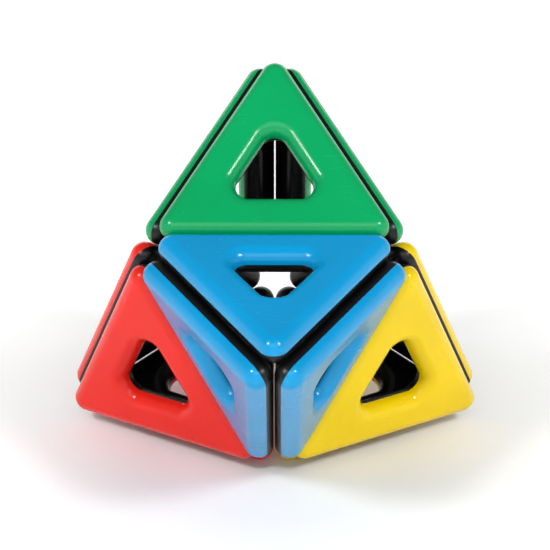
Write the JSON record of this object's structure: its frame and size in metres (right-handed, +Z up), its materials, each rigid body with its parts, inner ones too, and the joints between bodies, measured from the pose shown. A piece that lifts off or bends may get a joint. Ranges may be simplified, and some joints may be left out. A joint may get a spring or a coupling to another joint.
{
  "type": "magnetic triangle tile pyramid",
  "caption": "Hollow pyramid puzzle of windowed triangular tiles, coloured outside and black inside, folding on round magnetic rims.",
  "frame": {"origin": "middle of the bounding box at the level of the surface it stands on", "axes": "+Z up, +X to the right and -Y towards the viewer as the blue tip points at them; the left and right halves mirror each other in the plane x = 0"},
  "size_m": [0.1294, 0.1241, 0.1157],
  "materials": {
    "blue_plastic": "polished moulded plastic",
    "green_plastic": "polished moulded plastic",
    "red_plastic": "polished moulded plastic",
    "yellow_plastic": "polished moulded plastic",
    "black_plastic": "moulded plastic, slightly softer gloss",
    "magnet": "nickel plate on a sintered magnet"
  },
  "bodies": {
    "blue_top": {"blue_top_cover": "blue_plastic", "blue_top_tray": "black_plastic"},
    "blue_left": {"blue_left_cover": "blue_plastic", "blue_left_tray": "black_plastic"},
    "blue_right": {"blue_right_cover": "blue_plastic", "blue_right_tray": "black_plastic"},
    "green_front": {"green_front_cover": "green_plastic", "green_front_tray": "black_plastic"},
    "green_left": {"green_left_cover": "green_plastic", "green_left_tray": "black_plastic"},
    "green_right": {"green_right_cover": "green_plastic", "green_right_tray": "black_plastic"},
    "red_front": {"red_front_cover": "red_plastic", "red_front_tray": "black_plastic"},
    "red_back": {"red_back_cover": "red_plastic", "red_back_tray": "black_plastic"},
    "red_bottom": {"red_bottom_cover": "red_plastic", "red_bottom_tray": "black_plastic"},
    "yellow_front": {"yellow_front_cover": "yellow_plastic", "yellow_front_tray": "black_plastic"},
    "yellow_back": {"yellow_back_cover": "yellow_plastic", "yellow_back_tray": "black_plastic"},
    "yellow_bottom": {"yellow_bottom_cover": "yellow_plastic", "yellow_bottom_tray": "black_plastic"},
    "blue_top_to_blue_left_magnets": {"blue_top_right_magnet": "magnet", "blue_left_left_magnet": "magnet"},
    "blue_left_to_red_front_magnets": {"blue_left_base_magnet": "magnet", "red_front_base_magnet": "magnet"},
    "red_front_to_red_back_magnets": {"red_front_right_magnet": "magnet", "red_back_left_magnet": "magnet"},
    "red_front_to_red_bottom_magnets": {"red_front_left_magnet": "magnet", "red_bottom_right_magnet": "magnet"},
    "blue_top_to_blue_right_magnets": {"blue_top_left_magnet": "magnet", "blue_right_right_magnet": "magnet"},
    "blue_right_to_yellow_front_magnets": {"blue_right_base_magnet": "magnet", "yellow_front_base_magnet": "magnet"},
    "yellow_front_to_yellow_back_magnets": {"yellow_front_left_magnet": "magnet", "yellow_back_right_magnet": "magnet"},
    "yellow_front_to_yellow_bottom_magnets": {"yellow_front_right_magnet": "magnet", "yellow_bottom_left_magnet": "magnet"},
    "blue_top_to_green_front_magnets": {"blue_top_base_magnet": "magnet", "green_front_base_magnet": "magnet"},
    "green_front_to_green_left_magnets": {"green_front_left_magnet": "magnet", "green_left_right_magnet": "magnet"},
    "green_front_to_green_right_magnets": {"green_front_right_magnet": "magnet", "green_right_left_magnet": "magnet"},
    "blue_left_right_magnet_rod": {"blue_left_right_magnet": "magnet"},
    "blue_right_left_magnet_rod": {"blue_right_left_magnet": "magnet"},
    "green_left_base_magnet_rod": {"green_left_base_magnet": "magnet"},
    "green_left_left_magnet_rod": {"green_left_left_magnet": "magnet"},
    "green_right_base_magnet_rod": {"green_right_base_magnet": "magnet"},
    "green_right_right_magnet_rod": {"green_right_right_magnet": "magnet"},
    "red_back_base_magnet_rod": {"red_back_base_magnet": "magnet"},
    "red_back_right_magnet_rod": {"red_back_right_magnet": "magnet"},
    "red_bottom_base_magnet_rod": {"red_bottom_base_magnet": "magnet"},
    "red_bottom_left_magnet_rod": {"red_bottom_left_magnet": "magnet"},
    "yellow_back_base_magnet_rod": {"yellow_back_base_magnet": "magnet"},
    "yellow_back_left_magnet_rod": {"yellow_back_left_magnet": "magnet"},
    "yellow_bottom_base_magnet_rod": {"yellow_bottom_base_magnet": "magnet"},
    "yellow_bottom_right_magnet_rod": {"yellow_bottom_right_magnet": "magnet"}
  },
  "joints": [
    {"name": "blue_left_fold", "type": "hinge", "parent": "blue_top", "child": "blue_top_to_blue_left_magnets", "pos_m": [-0.01525, -0.03008, 0.06822], "axis": [-0.5, 0.8543, 0.1421], "range_deg": [0, 54.74]},
    {"name": "blue_left_roll", "type": "hinge", "parent": "blue_top_to_blue_left_magnets", "child": "blue_left", "pos_m": [-0.01995, -0.03149, 0.06021], "axis": [-0.5, 0.8543, 0.1421], "range_deg": [0, 54.74]},
    {"name": "red_front_fold", "type": "hinge", "parent": "blue_left", "child": "blue_left_to_red_front_magnets", "pos_m": [-0.01995, -0.01004, 0.03853], "axis": [-0.5, 0.1508, 0.8528], "range_deg": [0, 15]},
    {"name": "red_front_roll", "type": "hinge", "parent": "blue_left_to_red_front_magnets", "child": "red_front", "pos_m": [-0.02465, -0.00295, 0.03452], "axis": [-0.5, 0.1508, 0.8528], "range_deg": [0, 15]},
    {"name": "red_back_fold", "type": "hinge", "parent": "red_front", "child": "red_front_to_red_back_magnets", "pos_m": [-0.05007, 0.01391, 0.03452], "axis": [0.3333, -0.402, 0.8528], "range_deg": [0, 54.74]},
    {"name": "red_back_roll", "type": "hinge", "parent": "red_front_to_red_back_magnets", "child": "red_back", "pos_m": [-0.05007, 0.02241, 0.03853], "axis": [0.3333, -0.402, 0.8528], "range_deg": [0, 54.74]},
    {"name": "red_bottom_fold", "type": "hinge", "parent": "red_front", "child": "red_front_to_red_bottom_magnets", "pos_m": [-0.03482, 0.00931, 0.00851], "axis": [-0.8333, 0.5528, 0], "range_deg": [0, 54.74]},
    {"name": "red_bottom_roll", "type": "hinge", "parent": "red_front_to_red_bottom_magnets", "child": "red_bottom", "pos_m": [-0.03012, 0.0164, 0.00451], "axis": [-0.8333, 0.5528, 0], "range_deg": [0, 54.74]},
    {"name": "blue_right_fold", "type": "hinge", "parent": "blue_top", "child": "blue_top_to_blue_right_magnets", "pos_m": [0.01525, -0.03008, 0.06822], "axis": [-0.5, -0.8543, -0.1421], "range_deg": [0, 54.74]},
    {"name": "blue_right_roll", "type": "hinge", "parent": "blue_top_to_blue_right_magnets", "child": "blue_right", "pos_m": [0.01995, -0.03149, 0.06021], "axis": [-0.5, -0.8543, -0.1421], "range_deg": [0, 54.74]},
    {"name": "yellow_front_fold", "type": "hinge", "parent": "blue_right", "child": "blue_right_to_yellow_front_magnets", "pos_m": [0.01995, -0.01004, 0.03853], "axis": [-0.5, -0.1508, -0.8528], "range_deg": [0, 15]},
    {"name": "yellow_front_roll", "type": "hinge", "parent": "blue_right_to_yellow_front_magnets", "child": "yellow_front", "pos_m": [0.02465, -0.00295, 0.03452], "axis": [-0.5, -0.1508, -0.8528], "range_deg": [0, 15]},
    {"name": "yellow_back_fold", "type": "hinge", "parent": "yellow_front", "child": "yellow_front_to_yellow_back_magnets", "pos_m": [0.05007, 0.01391, 0.03452], "axis": [0.3333, 0.402, -0.8528], "range_deg": [0, 54.74]},
    {"name": "yellow_back_roll", "type": "hinge", "parent": "yellow_front_to_yellow_back_magnets", "child": "yellow_back", "pos_m": [0.05007, 0.02241, 0.03853], "axis": [0.3333, 0.402, -0.8528], "range_deg": [0, 54.74]},
    {"name": "yellow_bottom_fold", "type": "hinge", "parent": "yellow_front", "child": "yellow_front_to_yellow_bottom_magnets", "pos_m": [0.03482, 0.00931, 0.00851], "axis": [-0.8333, -0.5528, 0], "range_deg": [0, 54.74]},
    {"name": "yellow_bottom_roll", "type": "hinge", "parent": "yellow_front_to_yellow_bottom_magnets", "child": "yellow_bottom", "pos_m": [0.03012, 0.0164, 0.00451], "axis": [-0.8333, -0.5528, 0], "range_deg": [0, 54.74]},
    {"name": "green_front_fold", "type": "hinge", "parent": "blue_top", "child": "blue_top_to_green_front_magnets", "pos_m": [0, -0.00402, 0.07256], "axis": [1, 0, 0], "range_deg": [0, 74]},
    {"name": "green_front_roll", "type": "hinge", "parent": "blue_top_to_green_front_magnets", "child": "green_front", "pos_m": [0, 0.00448, 0.07657], "axis": [1, 0, 0], "range_deg": [0, 74]},
    {"name": "green_left_fold", "type": "hinge", "parent": "green_front", "child": "green_front_to_green_left_magnets", "pos_m": [-0.01525, 0.02441, 0.09391], "axis": [0.5, 0.6533, 0.5685], "range_deg": [0, 54.74]},
    {"name": "green_left_roll", "type": "hinge", "parent": "green_front_to_green_left_magnets", "child": "green_left", "pos_m": [-0.01995, 0.03149, 0.0899], "axis": [0.5, 0.6533, 0.5685], "range_deg": [0, 54.74]},
    {"name": "green_right_fold", "type": "hinge", "parent": "green_front", "child": "green_front_to_green_right_magnets", "pos_m": [0.01525, 0.02441, 0.09391], "axis": [0.5, -0.6533, -0.5685], "range_deg": [0, 54.74]},
    {"name": "green_right_roll", "type": "hinge", "parent": "green_front_to_green_right_magnets", "child": "green_right", "pos_m": [0.01995, 0.03149, 0.0899], "axis": [0.5, -0.6533, -0.5685], "range_deg": [0, 54.74]},
    {"name": "blue_left_right_magnet_spin", "type": "hinge", "parent": "blue_left", "child": "blue_left_right_magnet_rod", "pos_m": [-0.0047, -0.03609, 0.0342], "axis": [0, -0.7035, 0.7107], "continuous": true},
    {"name": "blue_right_left_magnet_spin", "type": "hinge", "parent": "blue_right", "child": "blue_right_left_magnet_rod", "pos_m": [0.0047, -0.03609, 0.0342], "axis": [0, 0.7035, -0.7107], "continuous": true},
    {"name": "green_left_base_magnet_spin", "type": "hinge", "parent": "green_left", "child": "green_left_base_magnet_rod", "pos_m": [-0.01995, 0.03456, 0.05955], "axis": [-0.5, -0.7538, 0.4264], "continuous": true},
    {"name": "green_left_left_magnet_spin", "type": "hinge", "parent": "green_left", "child": "green_left_left_magnet_rod", "pos_m": [-0.0047, 0.05448, 0.07689], "axis": [0, 0.1005, -0.9949], "continuous": true},
    {"name": "green_right_base_magnet_spin", "type": "hinge", "parent": "green_right", "child": "green_right_base_magnet_rod", "pos_m": [0.01995, 0.03456, 0.05955], "axis": [-0.5, 0.7538, -0.4264], "continuous": true},
    {"name": "green_right_right_magnet_spin", "type": "hinge", "parent": "green_right", "child": "green_right_right_magnet_rod", "pos_m": [0.0047, 0.05448, 0.07689], "axis": [0, -0.1005, 0.9949], "continuous": true},
    {"name": "red_back_base_magnet_spin", "type": "hinge", "parent": "red_back", "child": "red_back_base_magnet_rod", "pos_m": [-0.02465, 0.03314, 0.05154], "axis": [0.5, 0.7538, -0.4264], "continuous": true},
    {"name": "red_back_right_magnet_spin", "type": "hinge", "parent": "red_back", "child": "red_back_right_magnet_rod", "pos_m": [-0.03482, 0.0454, 0.02553], "axis": [-0.8333, -0.3518, -0.4264], "continuous": true},
    {"name": "red_bottom_base_magnet_spin", "type": "hinge", "parent": "red_bottom", "child": "red_bottom_base_magnet_rod", "pos_m": [-0.0047, 0.02713, 0.01751], "axis": [0, -0.9045, -0.4264], "continuous": true},
    {"name": "red_bottom_left_magnet_spin", "type": "hinge", "parent": "red_bottom", "child": "red_bottom_left_magnet_rod", "pos_m": [-0.03012, 0.04399, 0.01751], "axis": [0.8333, 0.3518, 0.4264], "continuous": true},
    {"name": "yellow_back_base_magnet_spin", "type": "hinge", "parent": "yellow_back", "child": "yellow_back_base_magnet_rod", "pos_m": [0.02465, 0.03314, 0.05154], "axis": [0.5, -0.7538, 0.4264], "continuous": true},
    {"name": "yellow_back_left_magnet_spin", "type": "hinge", "parent": "yellow_back", "child": "yellow_back_left_magnet_rod", "pos_m": [0.03482, 0.0454, 0.02553], "axis": [-0.8333, 0.3518, 0.4264], "continuous": true},
    {"name": "yellow_bottom_base_magnet_spin", "type": "hinge", "parent": "yellow_bottom", "child": "yellow_bottom_base_magnet_rod", "pos_m": [0.0047, 0.02713, 0.01751], "axis": [0, 0.9045, 0.4264], "continuous": true},
    {"name": "yellow_bottom_right_magnet_spin", "type": "hinge", "parent": "yellow_bottom", "child": "yellow_bottom_right_magnet_rod", "pos_m": [0.03012, 0.04399, 0.01751], "axis": [0.8333, -0.3518, -0.4264], "continuous": true}
  ],
  "couplings": [
    {"joint": "blue_left_roll", "follows": "blue_left_fold", "ratio": 1},
    {"joint": "red_front_roll", "follows": "red_front_fold", "ratio": 1},
    {"joint": "red_back_roll", "follows": "red_back_fold", "ratio": 1},
    {"joint": "red_bottom_roll", "follows": "red_bottom_fold", "ratio": 1},
    {"joint": "blue_right_roll", "follows": "blue_right_fold", "ratio": 1},
    {"joint": "yellow_front_roll", "follows": "yellow_front_fold", "ratio": 1},
    {"joint": "yellow_back_roll", "follows": "yellow_back_fold", "ratio": 1},
    {"joint": "yellow_bottom_roll", "follows": "yellow_bottom_fold", "ratio": 1},
    {"joint": "green_front_roll", "follows": "green_front_fold", "ratio": 1},
    {"joint": "green_left_roll", "follows": "green_left_fold", "ratio": 1},
    {"joint": "green_right_roll", "follows": "green_right_fold", "ratio": 1}
  ]
}
